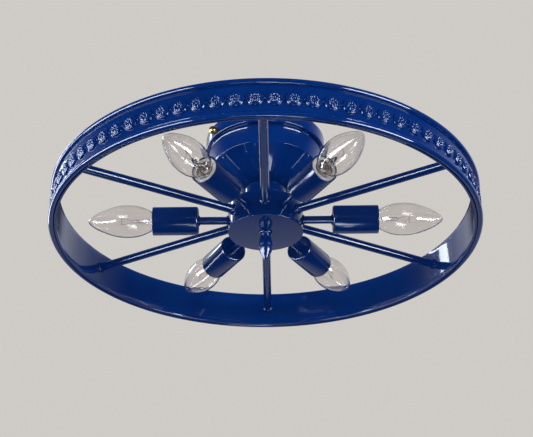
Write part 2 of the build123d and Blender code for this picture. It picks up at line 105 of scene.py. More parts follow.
def ring_faces(rings, segments):
    """Quads between rings of points that follow one another in one list."""
    faces = []
    for k in range(rings - 1):
        for i in range(segments):
            j = (i + 1) % segments
            faces.append((k * segments + i, k * segments + j, (k + 1) * segments + j, (k + 1) * segments + i))
    return faces


def merge(*meshes):
    verts, faces, count = [], [], 0
    for v, f in meshes:
        verts.append(np.asarray(v, float))
        faces += [tuple(i + count for i in face) for face in f]
        count += len(v)
    return np.concatenate(verts), faces


def moved(mesh, x, y, z):
    verts, faces = mesh
    return verts + np.array([x, y, z]) * MM, faces


def out_at(mesh, angle, height=WHEEL_Z):
    """Lays a mesh made along Z on its side, so that it runs outwards at an angle round the vertical."""
    raise_up = Matrix.Translation((0, 0, height * MM))
    turn = Matrix.Rotation(math.radians(angle), 4, "Z") @ Matrix.Rotation(math.radians(90), 4, "Y")
    m = np.array(raise_up @ turn, float)
    verts, faces = mesh
    return verts @ m[:3, :3].T + m[:3, 3], faces


def arc(r, h, radius, start, end, steps=6):
    """Points on an arc round (r, h); angles in degrees, 0 along +r and 90 along +h."""
    angles = [math.radians(start + (end - start) * i / steps) for i in range(steps + 1)]
    return [(r + radius * math.cos(a), h + radius * math.sin(a)) for a in angles]


def curve_through(points, per):
    """Smooth curve through (radius, height) points, with a number of steps between two of them."""
    p = np.array([points[0]] + list(points) + [points[-1]], float)
    out = []
    for i in range(1, len(p) - 2):
        a, b, c, d = p[i - 1], p[i], p[i + 1], p[i + 2]
        for k in range(per):
            t = k / per
            square = 2 * a - 5 * b + 4 * c - d
            cube = 3 * b - a - 3 * c + d
            out.append(tuple(0.5 * (2 * b + (c - a) * t + square * t * t + cube * t**3)))
    out.append(tuple(p[-2]))
    return out


def from_edge(edge, points):
    """Moves (radius, height) points, whose heights are given from an edge, to their real heights."""
    return [(r, edge + h) for r, h in points]


def shade(data, angle, weld):
    """Outward normals, and smooth shading with sharp edges past an angle in degrees."""
    work = bmesh.new()
    work.from_mesh(data)
    if weld:
        bmesh.ops.remove_doubles(work, verts=work.verts, dist=WELD_METRES)
    bmesh.ops.recalc_face_normals(work, faces=work.faces)
    work.to_mesh(data)
    work.free()
    data.polygons.foreach_set("use_smooth", [True] * len(data.polygons))
    data.set_sharp_from_angle(angle=math.radians(angle))


def place(name, data, node, body):
    obj = bpy.data.objects.new(name, data)
    bpy.context.scene.collection.objects.link(obj)
    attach(obj, body)
    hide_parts(node)


def piece(name, mesh, node, body, material, smooth=40):
    verts, faces = mesh
    data = bpy.data.meshes.new(name)
    data.from_pydata([tuple(v) for v in verts], [], faces)
    data.validate()
    shade(data, smooth, weld=True)
    data.materials.append(material)
    place(name, data, node, body)


def joined(name, parts, node, body):
    """One piece with several materials: parts are (mesh, material)."""
    verts, faces = merge(*[mesh for mesh, _ in parts])
    data = bpy.data.meshes.new(name)
    data.from_pydata([tuple(v) for v in verts], [], faces)
    start = 0
    for k, (mesh, material) in enumerate(parts):
        data.materials.append(material)
        end = start + len(mesh[1])
        for q in range(start, end):
            data.polygons[q].material_index = k
        start = end
    shade(data, 45, weld=False)
    place(name, data, node, body)


# Materials
def new_material(name):
    m = bpy.data.materials.new(name)
    m.use_nodes = True
    return m, m.node_tree, m.node_tree.nodes["Principled BSDF"]


def add_noise(tree, scale, detail):
    coords = tree.nodes.new("ShaderNodeTexCoord")
    noise = tree.nodes.new("ShaderNodeTexNoise")
    noise.inputs["Scale"].default_value = scale
    noise.inputs["Detail"].default_value = detail
    noise.inputs["Roughness"].default_value = 0.55
    tree.links.new(coords.outputs["Object"], noise.inputs["Vector"])
    return noise.outputs["Fac"]


def add_ramp(tree, source, stops):
    """Colours at places along a ramp, as (place, colour)."""
    ramp = tree.nodes.new("ShaderNodeValToRGB")
    elements = ramp.color_ramp.elements
    while len(elements) < len(stops):
        elements.new(0.5)
    for element, (at, colour) in zip(elements, stops):
        element.position = at
        element.color = (*colour, 1)
    tree.links.new(source, ramp.inputs["Fac"])
    return ramp.outputs["Color"]


def add_range(tree, source, low, high):
    r = tree.nodes.new("ShaderNodeMapRange")
    r.inputs["To Min"].default_value = low
    r.inputs["To Max"].default_value = high
    tree.links.new(source, r.inputs["Value"])
    return r.outputs["Result"]


def add_bump(tree, shader, layers):
    """Bump layers as (height output, strength, distance in metres)."""
    previous = None
    for height, strength, distance in layers:
        bump = tree.nodes.new("ShaderNodeBump")
        bump.inputs["Strength"].default_value = strength
        bump.inputs["Distance"].default_value = distance
        tree.links.new(height, bump.inputs["Height"])
        if previous is not None:
            tree.links.new(previous, bump.inputs["Normal"])
        previous = bump.outputs["Normal"]
    tree.links.new(previous, shader.inputs["Normal"])
    return previous


def set_colour(tree, shader, source, dark, light):
    tree.links.new(add_ramp(tree, source, [(0.3, dark), (0.7, light)]), shader.inputs["Base Color"])


def set_roughness(tree, shader, source, low, high):
    tree.links.new(add_range(tree, source, low, high), shader.inputs["Roughness"])


BLUE_DEEP = (0.0008, 0.0225, 0.158)
BLUE = (0.0010, 0.0275, 0.184)
BLUE_LIGHT = (0.0013, 0.0330, 0.208)


def paint(name, waviness, peel=0.25, coat_rough=0.03):
    """Gloss paint in a clear coat, with slow waves, orange peel and a few specks under it."""
    m, tree, shader = new_material(name)
    broad = add_noise(tree, scale=14.0, detail=2.0)
    colour = add_ramp(tree, broad, [(0.3, BLUE_DEEP), (0.5, BLUE), (0.72, BLUE_LIGHT)])
    tree.links.new(colour, shader.inputs["Base Color"])
    set_roughness(tree, shader, add_noise(tree, scale=90.0, detail=4.0), 0.16, 0.30)
    shader.inputs["IOR"].default_value = 1.5
    shader.inputs["Specular IOR Level"].default_value = 0.04
    shader.inputs["Coat Weight"].default_value = 1.0
    shader.inputs["Coat Roughness"].default_value = coat_rough
    shader.inputs["Coat IOR"].default_value = 1.55
    wave = add_noise(tree, scale=28.0, detail=1.0)
    orange = add_noise(tree, scale=520.0, detail=2.0)
    specks = add_noise(tree, scale=240.0, detail=0.0)
    grit = add_ramp(tree, specks, [(0.73, (0, 0, 0)), (0.78, (1, 1, 1))])
    layers = [(wave, waviness, 0.0006), (orange, peel, 0.00006), (grit, 0.25, 0.00012)]
    tree.links.new(add_bump(tree, shader, layers), shader.inputs["Coat Normal"])
    return m


def porcelain():
    m, tree, shader = new_material("porcelain_glaze")
    noise = add_noise(tree, scale=60.0, detail=3.0)
    set_colour(tree, shader, noise, (0.86, 0.84, 0.79), (0.93, 0.92, 0.89))
    set_roughness(tree, shader, noise, 0.12, 0.25)
    shader.inputs["Coat Weight"].default_value = 0.6
    shader.inputs["Coat Roughness"].default_value = 0.05
    add_bump(tree, shader, [(add_noise(tree, scale=700.0, detail=1.0), 0.2, 0.00005)])
    return m


def clear_glass():
    m, tree, shader = new_material("bulb_clear_glass")
    noise = add_noise(tree, scale=35.0, detail=1.0)
    set_colour(tree, shader, noise, (0.885, 0.862, 0.865), (0.935, 0.915, 0.915))
    shader.inputs["Transmission Weight"].default_value = 1.0
    shader.inputs["Roughness"].default_value = 0.0
    shader.inputs["IOR"].default_value = 1.5
    add_bump(tree, shader, [(noise, 0.12, 0.0004)])
    return m


def metal(name, dark, light, rough_low, rough_high, scale=80.0):
    m, tree, shader = new_material(name)
    set_colour(tree, shader, add_noise(tree, scale, detail=4.0), dark, light)
    shader.inputs["Metallic"].default_value = 1.0
    fine = add_noise(tree, scale * 6, detail=3.0)
    set_roughness(tree, shader, fine, rough_low, rough_high)
    add_bump(tree, shader, [(fine, 0.15, 0.00005)])
    return m


def plastic(name, dark, light, rough=0.45):
    m, tree, shader = new_material(name)
    set_colour(tree, shader, add_noise(tree, scale=120.0, detail=3.0), dark, light)
    fine = add_noise(tree, scale=900.0, detail=2.0)
    set_roughness(tree, shader, fine, rough - 0.08, rough + 0.08)
    add_bump(tree, shader, [(fine, 0.25, 0.00004)])
    return m


PAINT_SHEET = paint("blue_paint_sheet", waviness=0.30)
PAINT_SPUN = paint("blue_paint_spun", waviness=0.14)
PAINT_TUBE = paint("blue_paint_tube", waviness=0.04, peel=0.15, coat_rough=0.14)
PAINT_TURNED = paint("blue_paint_turned", waviness=0.10, peel=0.2, coat_rough=0.16)
PAINT_CAST = paint("blue_paint_cast", waviness=0.10)
PORCELAIN = porcelain()
GLASS = clear_glass()
CAP_METAL = metal("nickel_cap", (0.50, 0.49, 0.46), (0.66, 0.65, 0.62), 0.22, 0.38)
SHELL_METAL = metal("brass_shell", (0.42, 0.33, 0.17), (0.62, 0.50, 0.28), 0.25, 0.42)
WIRE = metal("filament_wire", (0.22, 0.21, 0.20), (0.34, 0.33, 0.32), 0.3, 0.45, scale=400.0)
BRASS = metal("polished_brass", (0.56, 0.36, 0.11), (0.76, 0.53, 0.20), 0.24, 0.36)
ZINC = metal("zinc_plated_steel", (0.42, 0.42, 0.41), (0.60, 0.60, 0.58), 0.28, 0.48, scale=50.0)
WHITE_PLASTIC = plastic("white_moulding", (0.62, 0.61, 0.57), (0.74, 0.73, 0.70))
LEAD_PLASTIC = plastic("lead_insulation", (0.16, 0.06, 0.03), (0.25, 0.10, 0.05), rough=0.4)
CEMENT = plastic("basing_cement", (0.14, 0.06, 0.035), (0.22, 0.10, 0.06), rough=0.7)
# Dark moulding: the caps' real black insulators, and also the dark sheet that paints the shade in the
# lampholders' bores
DARK_INSULATOR_AND_SHADE = plastic("dark_insulator_and_bore_shade", (0.012, 0.012, 0.013), (0.03, 0.03, 0.032), rough=0.5)

# Wheel rim: rolled flat bar inside
BAND_IN, BAND_OUT, BAND_HALF = 220.2, 222.7, 20.5
BAND_ROUND = 0.5
BAND_STATIONS = 8
BAND_DEPTH = 0.05


def band():
    inner, outer, top = BAND_IN + BAND_ROUND, BAND_OUT - BAND_ROUND, BAND_HALF - BAND_ROUND
    corners = arc(outer, top, BAND_ROUND, 0, 90, 3) + arc(inner, top, BAND_ROUND, 90, 180, 3)
    for k in range(1, BAND_STATIONS):
        corners.append((BAND_IN, top - k * 2 * top / BAND_STATIONS))
    corners += arc(inner, -top, BAND_ROUND, 180, 270, 3) + arc(outer, -top, BAND_ROUND, 270, 360, 3)

    def roll(r, h, a):
        # the bar was rolled in short bites, so the inside isn't quite round
        wave = 0.05 * math.sin(23 * a + 0.6) + 0.04 * math.sin(41 * a + 2.1 + h * 0.05)
        return (r - BAND_DEPTH + wave if r < BAND_IN + 0.01 else r), h

    return lathe(corners, RIM_SEGMENTS, closed=True, radius_at=roll)


piece("rim_band", moved(band(), 0, 0, WHEEL_Z), "hoop_band", "fixture", PAINT_SHEET)

# Decorative strip with a rolled bead along both edges.
# The groove beside a bead has points as (out of the field, below the bead's middle).
# The bead is 0.08 smaller in radius than the solid's, so that it stays within the CAD box.
TRIM_BACK_R = 224.0
BEAD_R, BEAD_AT, BEAD_Z = 2.92, 226.0, 18.5
GROOVE = ((-0.2, 3.25), (-0.35, 3.7), (-0.25, 4.2), (0.05, 4.6), (0.1, 5.0), (0.0, 5.5))


def trim():
    upper = [(TRIM_BACK_R, BEAD_Z - 2.2)] + arc(BEAD_AT, BEAD_Z, BEAD_R, 215, -68, 22)
    upper += [(FIELD_R + out, BEAD_Z - down) for out, down in GROOVE]
    lower = [(r, -h) for r, h in upper[::-1]]
    return lathe(upper + lower, RIM_SEGMENTS, closed=True)


piece("rim_trim", moved(trim(), 0, 0, WHEEL_Z), "hoop_trim", "fixture", PAINT_CAST)

# Embossed rosettes, with a small bead between neighbours
ROSETTES = 79
ROSETTE_TURN = -0.6
ROSETTE_R = 8.3
CROWN_R, CROWN_H = 5.3, 2.35
FLANK_RING_R, FLANK_NOTCH_R, FLANK_NOTCHES = 6.5, 7.25, 20
PETAL_R, PETALS = 3.55, 9
BUD_R = 1.55
FOOT_DEPTH = 0.25
CROWN_RINGS = (0, 0.55, 1.0, 1.35, 1.6, 2.1, 2.6, 3.1, 3.55, 4.0, 4.5, 4.95)
FLANK_RINGS = (5.3, 5.8, 6.2, 6.5, 6.8, 7.2, 7.6, 7.95, 8.2, 8.3)
PEARL_RINGS = ((0, 1.3), (0.5, 1.2), (0.85, 0.92), (1.1, 0.4), (1.15, -0.2))


def ridge(r, at, width):
    """Rounded ring of height 1 at a radius."""
    return math.exp(-(((r - at) / width) ** 2))


def rosette_height(r, a):
    if r > CROWN_R:
        share = (r - CROWN_R) / (ROSETTE_R - CROWN_R)
        flank = CROWN_H * math.sqrt(max(0.0, 1 - share * share))
        notches = 0.5 + 0.5 * math.cos(FLANK_NOTCHES * a)
        return flank - 0.42 * ridge(r, FLANK_RING_R, 0.38) + 0.22 * ridge(r, FLANK_NOTCH_R, 0.4) * notches
    petal = (0.5 + 0.5 * math.cos(PETALS * a)) ** 0.6
    h = CROWN_H - 0.35 * ridge(r, 5.2, 0.35) + 1.25 * petal * ridge(r, PETAL_R, 1.05)
    return h + 1.15 * math.sqrt(1 - (r / BUD_R) ** 2) if r < BUD_R else h


def relief(radii, segments, height_at):
    """Flat-made relief of (x, y, height); height_at takes a ring's number and an angle."""
    points = []
    for k, r in enumerate(radii):
        for i in range(segments):
            a = 2 * math.pi * i / segments
            points.append((r * math.cos(a), r * math.sin(a), height_at(k, a)))
    return np.array(points), ring_faces(len(radii), segments)


def wrapped(mesh, at, spin):
    """Turns a relief on the spot and lays it round the strip at an angle in degrees."""
    points, faces = mesh
    c, s = math.cos(spin), math.sin(spin)
    along = points[:, 0] * c - points[:, 1] * s
    upwards = points[:, 0] * s + points[:, 1] * c
    angle = math.radians(at) + along / FIELD_R
    radius = (FIELD_R + points[:, 2]) * MM
    place_at = [radius * np.cos(angle), radius * np.sin(angle), (WHEEL_Z + upwards) * MM]
    return np.stack(place_at, axis=1), faces


def rosette_strip():
    radii = CROWN_RINGS + FLANK_RINGS

    def rosette_at(k, a):
        return rosette_height(radii[k], a) if radii[k] < ROSETTE_R else -FOOT_DEPTH

    def pearl_at(k, a):
        return PEARL_RINGS[k][1]

    rosette = relief(radii, 54, rosette_at)
    pearl = relief([r for r, _ in PEARL_RINGS], 14, pearl_at)
    parts = []
    for i in range(ROSETTES):
        spin = rng.uniform(0, 2 * math.pi)
        parts.append(wrapped(rosette, i * 360 / ROSETTES + ROSETTE_TURN, spin))
        parts.append(wrapped(pearl, (i + 0.5) * 360 / ROSETTES + ROSETTE_TURN, 0.0))
    return merge(*parts)


piece("rim_rosettes", rosette_strip(), "hoop_rosettes", "fixture", PAINT_CAST, smooth=60)

# Spokes with a ring of weld at both ends. Weld points are (out of the tube, from the hub or the rim).
SPOKE_R, SPOKE_END = 4.7, 220.05
SPOKE_STATIONS = (60.0, 140.0, 217.0)
HUB_WELD = ((1.4, -0.1), (1.45, 0.6), (1.2, 1.1), (0.6, 1.6), (0.15, 2.2), (0.0, 3.0))
RIM_WELD = ((0.1, -2.45), (0.5, -1.95), (1.0, -1.55), (1.35, -1.05), (1.45, -0.45), (1.4, 0.0))


def spoke():
    profile = [(SPOKE_R + out, HUB_R + h) for out, h in HUB_WELD]
    profile += [(SPOKE_R, h) for h in SPOKE_STATIONS]
    profile += [(SPOKE_R + out, SPOKE_END + h) for out, h in RIM_WELD]

    def ripple(r, h, a):
        # the ripples of a hand-laid weld; the tube between stays round
        if r < SPOKE_R + 0.05:
            return r, h
        n = 0.14 * math.sin(9 * a + 1.0) + 0.10 * math.sin(17 * a + 2.0) + 0.06 * math.sin(31 * a)
        return r + n * min(1.0, (r - SPOKE_R) / 0.8) - 0.12, h

    return lathe(profile, 64, radius_at=ripple)


spoke_mesh = spoke()
for i in range(SPOKES):
    mesh = out_at(spoke_mesh, FIRST_SPOKE + SPOKE_STEP * i, SPOKE_Z)
    piece(f"wheel_spoke_{i + 1}", mesh, f"spoke_{i + 1}", "fixture", PAINT_TUBE)

# Hub drum and its flat cover
HUB_IN, HUB_ROUND, HUB_HOLE_R = 38.5, 1.2, 4.1
HUB_FOOT = HUB_BOTTOM + 1.6
COVER_HOLE_R, COVER_ROUND, COVER_EDGE = 4.05, 0.55, 1.45
LIP_OUT, LIP_IN, LIP_TOP = 38.2, 37.2, 4.4

hub_profile = [(HUB_IN, HUB_FOOT), (HUB_R, HUB_FOOT)]
hub_profile += arc(HUB_R - HUB_ROUND, HUB_TOP - HUB_ROUND, HUB_ROUND, 0, 90, 5)
hub_profile += [(NECK_R - 0.2, HUB_TOP), (HUB_HOLE_R, HUB_TOP)]
hub_profile += [(HUB_HOLE_R, HUB_TOP - HUB_SHEET), (HUB_IN, HUB_TOP - HUB_SHEET)]
hub_mesh = lathe(hub_profile, ROUND_SEGMENTS, closed=True)
piece("hub_drum", hub_mesh, "hub_shell", "fixture", PAINT_SPUN)

cover_profile = [(COVER_HOLE_R, HUB_BOTTOM)]
cover_profile += arc(HUB_R - COVER_ROUND, HUB_BOTTOM + COVER_ROUND, COVER_ROUND, 270, 360, 4)
cover_profile += from_edge(
    HUB_BOTTOM,
    [
        (HUB_R, COVER_EDGE),
        (LIP_OUT, HUB_SHEET),
        (LIP_OUT, LIP_TOP),
        (LIP_IN, LIP_TOP),
        (LIP_IN, HUB_SHEET),
        (COVER_HOLE_R, HUB_SHEET),
    ],
)
cover_mesh = lathe(cover_profile, ROUND_SEGMENTS, closed=True)
piece("hub_disc", cover_mesh, "hub_cover", "fixture", PAINT_SPUN)

# Neck
NECK_WALL = 1.2
NECK_FOOT = HUB_TOP + 0.02
neck_in = NECK_R - NECK_WALL
neck_profile = [(NECK_R, NECK_FOOT), (NECK_R, NECK_TOP), (neck_in, NECK_TOP), (neck_in, NECK_FOOT)]
neck_mesh = lathe(neck_profile, 128, closed=True)
piece("canopy_neck", neck_mesh, "neck_tube", "fixture", PAINT_SPUN)

# Canopy pan
PAN_R, PAN_IN, PAN_LIP_R = 65.0, 63.8, 59.8
PAN_ROUND, PAN_INNER_ROUND = 1.6, 0.4
PAN_CORNER_R, PAN_CORNER_Z = PAN_R - PAN_ROUND, -13.0

pan_profile = [(PAN_R, 0.0), (PAN_R, PAN_CORNER_Z)] + arc(PAN_CORNER_R, PAN_CORNER_Z, PAN_ROUND, 0, -90, 8)
pan_profile += [(PAN_LIP_R, PAN_CORNER_Z - PAN_ROUND), (PAN_LIP_R, PAN_CORNER_Z - PAN_INNER_ROUND)]
pan_profile += [(PAN_CORNER_R, PAN_CORNER_Z - PAN_INNER_ROUND)]
pan_profile += arc(PAN_CORNER_R, PAN_CORNER_Z, PAN_INNER_ROUND, -90, 0, 3) + [(PAN_IN, 0.0)]
pan_mesh = lathe(pan_profile, ROUND_SEGMENTS, closed=True)
piece("canopy_dish", pan_mesh, "canopy_pan", "fixture", PAINT_SPUN)

# Canopy bell, outside from the flange down to the neck and back inside
BELL_FLANGE = [(58.3, -12.2), (62.8, -12.2), (62.8, -13.4), (59.8, -13.4)]
BELL_GROOVE = [(59.5, -13.7), (59.5, -16.9), (59.7, -17.25)]
BELL_DRUM = [(60.75, -19.3), (59.0, -26.6), (57.35, -33.8)]
BELL_CONE = [(40.2, -49.4), (24.2, -62.85)]
BELL_FOOT = [(4.1, -63.5), (4.1, -62.3)]
BELL_INSIDE = [(23.0, -62.3), (55.2, -36.0), (59.5, -18.6), (58.3, -18.6)]

# Lumps of paint or solder in the groove: places round it, and at each (degrees aside, height, radius)
LUMP_SITES = (204.6, 315.6, 84.6)
LUMPS = ((-5.0, -15.2, 1.3), (-2.6, -16.6, 2.0), (0.2, -15.8, 2.4), (2.9, -17.0, 1.8), (5.0, -15.4, 1.2))
LUMP_AT = 60.2


def lump(size):
    profile = arc(0.0, 0.0, size, 90, -90, 12)
    profile[0], profile[-1] = (0.0, size), (0.0, -size)
    return lathe(profile, 16)


def bell():
    bead = arc(61.0, -18.0, 0.4, 110, -45, 8)
    lower_edge = arc(55.9, -35.0, 1.3, 12, -49, 8)
    neck_round = arc(22.8, -62.3, 1.2, -45, -90, 3)
    outside = BELL_FLANGE + BELL_GROOVE + bead + BELL_DRUM + lower_edge + BELL_CONE + neck_round + BELL_FOOT
    parts = [lathe(outside + BELL_INSIDE, 240, closed=True)]
    for site in LUMP_SITES:
        for aside, height, size in LUMPS:
            at = math.radians(site + aside)
            parts.append(moved(lump(size), LUMP_AT * math.cos(at), LUMP_AT * math.sin(at), height))
    return merge(*parts)


piece("canopy_cone", bell(), "canopy_bell", "fixture", PAINT_SPUN)

# Finial, with heights from the hub's cover: collar, throat and drop
FINIAL_COLLAR = [(4.05, -0.1), (6.7, -0.1)] + arc(6.4, -1.1, 1.0, 60, -60, 6)
FINIAL_THROAT = [(5.7, -2.6), (5.6, -3.6), (5.6, -5.6)]
FINIAL_BELLY = [(5.6, -5.8), (6.25, -8.0), (6.95, -10.6), (7.5, -14.0), (7.6, -17.0)]
FINIAL_POINT = [(7.1, -20.1), (5.6, -24.1), (3.5, -28.1), (1.7, -31.3), (0.8, -32.3)]
FINIAL_TIP = [(0.0, -32.58)]

finial_profile = FINIAL_COLLAR + FINIAL_THROAT + curve_through(FINIAL_BELLY + FINIAL_POINT, 4) + FINIAL_TIP
finial_mesh = lathe(from_edge(HUB_BOTTOM, finial_profile), 72)
piece("finial_drop", finial_mesh, "finial", "finial", PAINT_TURNED)

# Lamp arms, with a turned shoulder at the hub and at the cup. Heights run outwards from the middle.
ARM_START, ARM_END = 34.0, 76.4
SHOULDER_R, SHOULDER_LENGTH, SHOULDER_BEVEL = 5.5, 1.55, 0.3


def shoulder(start):
    bevel_r = SHOULDER_R - SHOULDER_BEVEL
    end = start + SHOULDER_LENGTH
    profile = [(TUBE_R, start), (bevel_r, start), (SHOULDER_R, start + SHOULDER_BEVEL)]
    return profile + [(SHOULDER_R, end - SHOULDER_BEVEL), (bevel_r, end), (TUBE_R, end)]


arm_profile = [(TUBE_BORE_R, ARM_START), (TUBE_R, ARM_START), (TUBE_R, HUB_R)]
arm_profile += shoulder(HUB_R + 0.05) + shoulder(70.3) + [(TUBE_R, ARM_END), (TUBE_BORE_R, ARM_END)]
arm_mesh = lathe(arm_profile, 56)

# Cups: a rounded back and a rolled mouth
CUP_R, CUP_IN, CUP_START, CUP_ROUND = 15.2, 14.2, 71.9, 2.2
CUP_SHEET, CUP_HOLE_R, CUP_MOUTH_ROUND, CUP_MOUTH = 1.1, 4.3, 0.5, 120.1
CUP_BACK_R, CUP_INNER_BACK_R, CUP_SIDE = 12.6, 13.6, 84.0

cup_profile = [(CUP_HOLE_R, CUP_START + 1.0), (CUP_HOLE_R, CUP_START), (CUP_BACK_R, CUP_START)]
cup_profile += arc(CUP_R - CUP_ROUND, CUP_START + CUP_ROUND, CUP_ROUND, 280, 360, 8)
cup_profile += [(CUP_R, CUP_SIDE), (CUP_R, CUP_MOUTH)]
cup_profile += arc(CUP_R - CUP_MOUTH_ROUND, CUP_MOUTH, CUP_MOUTH_ROUND, 0, 180, 6)
cup_profile += [(CUP_IN, 119.8), (CUP_IN, 73.6), (CUP_INNER_BACK_R, CUP_START + CUP_SHEET)]
cup_mesh = lathe(cup_profile, closed=True)

# Lampholders: porcelain with a stepped back and a rounded mouth, and a dark sheet in its bore that paints the
# shade falling in the bore
HOLDER_R, HOLDER_BACK_R, HOLDER_START, HOLDER_END = 13.7, 11.8, 76.7, 119.9
HOLDER_ROUND, BORE_R, BORE_ROUND, BORE_FLOOR = 1.1, 9.8, 0.9, 87.7
HOLDER_STEP_START, HOLDER_STEP_END, HOLDER_SIDE_END, BORE_SHADE_EDGE = 88.4, 90.4, 118.7, 118.4

holder_profile = [(0, HOLDER_START), (HOLDER_BACK_R - 1.0, HOLDER_START), (HOLDER_BACK_R, HOLDER_START + 1.0)]
holder_profile += [(HOLDER_BACK_R, HOLDER_STEP_START), (HOLDER_R, HOLDER_STEP_END)]
holder_profile += [(HOLDER_R, HOLDER_SIDE_END)]
holder_profile += arc(HOLDER_R - HOLDER_ROUND, HOLDER_END - HOLDER_ROUND, HOLDER_ROUND, 0, 90, 5)
holder_profile += arc(BORE_R + BORE_ROUND, HOLDER_END - BORE_ROUND, BORE_ROUND, 90, 165, 5)
holder_mesh = lathe(holder_profile)
# The dark sheet down the bore is painted shade: it darkens the bore where shadow falls between porcelain and
# cap
bore_shade_mesh = lathe([holder_profile[-1], (BORE_R, BORE_SHADE_EDGE), (BORE_R, BORE_FLOOR), (0, BORE_FLOOR)])

# Screw shells in the lampholders
SHELL_IN, SHELL_OUT, SHELL_START, SHELL_END = 7.3, 7.62, 91.3, 112.9
SHELL_THREAD, SHELL_STEPS = 0.32, 96
SHELL_FOOT = [(5.0, 87.8), (9.5, 87.8), (9.5, 88.2), (7.65, 88.2), (7.65, SHELL_START)]
SHELL_FOOT += [(SHELL_IN, SHELL_START), (SHELL_IN, 88.2), (5.0, 88.2)]
SHELL_CONTACT = [(0, 87.8), (2.6, 87.8), (2.6, 92.8), (2.2, 93.4), (0, 93.45)]


def shell():
    """Thin threaded shell in the porcelain with its flat foot and centre contact."""
    rise = SHELL_END - SHELL_START
    heights = [SHELL_START + rise * k / SHELL_STEPS for k in range(SHELL_STEPS + 1)]
    path = [(SHELL_IN, h) for h in heights] + [(SHELL_OUT, h) for h in heights[::-1]]

    def thread(r, h, a):
        if SHELL_START < h < SHELL_END:
            return r + SHELL_THREAD * (0.5 + 0.5 * math.sin(2 * math.pi * h / CAP_PITCH - a)), h
        return r, h

    sleeve = lathe(path, 48, closed=True, radius_at=thread)
    return merge(sleeve, lathe(SHELL_FOOT, 48, closed=True), lathe(SHELL_CONTACT, 24))


shell_mesh = shell()
shells = []
for i in range(LAMPS):
    a = LAMP_STEP * i
    n = i + 1
    piece(f"lamp_arm_{n}", out_at(arm_mesh, a), f"arm_tube_{n}", "fixture", PAINT_TUBE)
    piece(f"lamp_cup_{n}", out_at(cup_mesh, a), f"socket_cup_{n}", "fixture", PAINT_TUBE)
    parts = [(out_at(holder_mesh, a), PORCELAIN), (out_at(bore_shade_mesh, a), DARK_INSULATOR_AND_SHADE)]
    joined(f"lamp_porcelain_{n}", parts, f"lampholder_{n}", "fixture")
    shells.append(out_at(shell_mesh, a))
piece("lamp_screw_shells", merge(*shells), "screw_shells", "fixture", SHELL_METAL, smooth=50)

# Bulbs. The glass's outline is in shares of its length and radius.
# The stem inside it has its heights from the cap's edge.
BULB_LENGTH, BULB_R, GLASS_WALL = 71.1, 17.5, 0.8
GLASS_NECK = ((0.0, 0.435), (0.03, 0.575), (0.093, 0.72), (0.183, 0.872), (0.275, 0.965))
GLASS_TOP = ((0.4, 1.0), (0.52, 0.97), (0.633, 0.873), (0.765, 0.685), (0.878, 0.475))
GLASS_TIP = ((0.951, 0.27), (0.985, 0.14), (1.0, 0.0))
STEM_FOOT = [(0.0, -1.9), (2.6, -1.9), (3.2, -1.2), (2.8, 1.2), (2.6, 5.0), (2.5, 12.0)]
STEM_TOP = [(2.5, 18.0), (2.2, 20.5), (1.3, 23.2), (0.7, 24.0), (0.0, 24.05)]


def glass_inside(outer):
    """The outline moved inwards by the wall, and closed at the tip."""
    inner = []
    for k, (r, h) in enumerate(outer):
        a, b = outer[max(k - 1, 0)], outer[min(k + 1, len(outer) - 1)]
        length = math.hypot(b[0] - a[0], b[1] - a[1])
        nr, nh = (b[1] - a[1]) / length, -(b[0] - a[0]) / length
        inner.append((max(r - GLASS_WALL * nr, 0.0), h - GLASS_WALL * nh))
    return [p for p in inner if p[0] > 0.05] + [(0.0, CAP_EDGE + BULB_LENGTH - 1.0)]


def bulb_glass():
    outline = GLASS_NECK + GLASS_TOP + GLASS_TIP
    outer = curve_through([(BULB_R * r, CAP_EDGE + BULB_LENGTH * s) for s, r in outline], 6)
    outer[-1] = (0.0, CAP_EDGE + BULB_LENGTH)
    base = outer[0][0]
    rim = from_edge(CAP_EDGE, [(base, -1.0), (base - GLASS_WALL, -1.0)])

    def blown(r, h, a):
        # faint flutes along the glass, as drawn tube has
        swell = 0.030 * math.sin(7 * a + 0.4) + 0.018 * math.sin(13 * a + 1.9) + 0.010 * math.sin(29 * a)
        return r + (swell - 0.06) * min(1.0, r / 6.0), h

    envelope = lathe(outer[::-1] + rim + glass_inside(outer), 116, radius_at=blown)
    stem = lathe(from_edge(CAP_EDGE, curve_through(STEM_FOOT, 4) + STEM_TOP), 32)
    return merge(envelope, stem)


def wire(points, radius, sides=8):
    """Thin round wire through points, made along Z."""
    p = np.array(points, float)
    verts = []
    across = np.array([0.31, 0.95, 0.07])
    for k in range(len(p)):
        d = p[min(k + 1, len(p) - 1)] - p[max(k - 1, 0)]
        d /= np.linalg.norm(d)
        x = np.cross(across, d)
        x /= np.linalg.norm(x)
        y = np.cross(d, x)
        for i in range(sides):
            a = 2 * math.pi * i / sides
            verts.append((p[k] + radius * (x * math.cos(a) + y * math.sin(a))) * MM)
    faces = ring_faces(len(p), sides)
    faces.append(tuple(range(sides))[::-1])
    faces.append(tuple((len(p) - 1) * sides + i for i in range(sides)))
    return np.array(verts), faces


# Filament: lead wires through the stem, one support, and a coil bent between them
LEAD_FOOT, LEAD_TOP = CAP_EDGE + 23.0, CAP_EDGE + 35.0
COIL_HALF, COIL_R, COIL_TURNS, COIL_STEPS, COIL_BOW = 4.3, 0.28, 42, 8, 1.6


